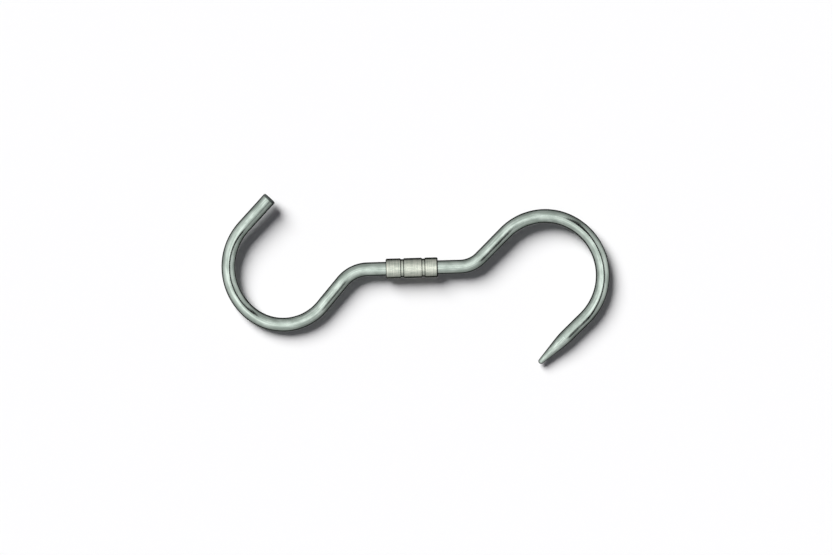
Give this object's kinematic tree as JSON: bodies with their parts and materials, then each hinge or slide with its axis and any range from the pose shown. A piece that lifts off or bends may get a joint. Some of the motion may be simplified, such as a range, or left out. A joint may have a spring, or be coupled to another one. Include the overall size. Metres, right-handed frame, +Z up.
{
  "type": "butcher hook",
  "caption": "Swivel meat hook bent from round steel rod: a blunt open hook for a rail, a crimped sleeve as swivel, and an open hook with a ground point for the load.",
  "frame": {"origin": "on the surface the hook lies on, under the middle of its footprint", "axes": "+X along the swivel axis, from the blunt rail hook to the pointed load hook; +Z up from the surface; +Y to the side that the rail hook opens to"},
  "size_m": [0.2202, 0.1009, 0.0121],
  "materials": {
    "rod_steel": "drawn round rod, bright and lightly brushed along its length",
    "sleeve_steel": "turned tube, fine marks around it, two rolled grooves"
  },
  "bodies": {
    "rail_side": {"rail_hook": "rod_steel", "swivel_sleeve": "sleeve_steel"},
    "load_side": {"load_hook": "rod_steel"}
  },
  "joints": [
    {"name": "swivel", "type": "hinge", "parent": "rail_side", "child": "load_side", "pos_m": [0.0052, 0.00566, 0.00575], "axis": [1, 0, 0], "continuous": true}
  ]
}
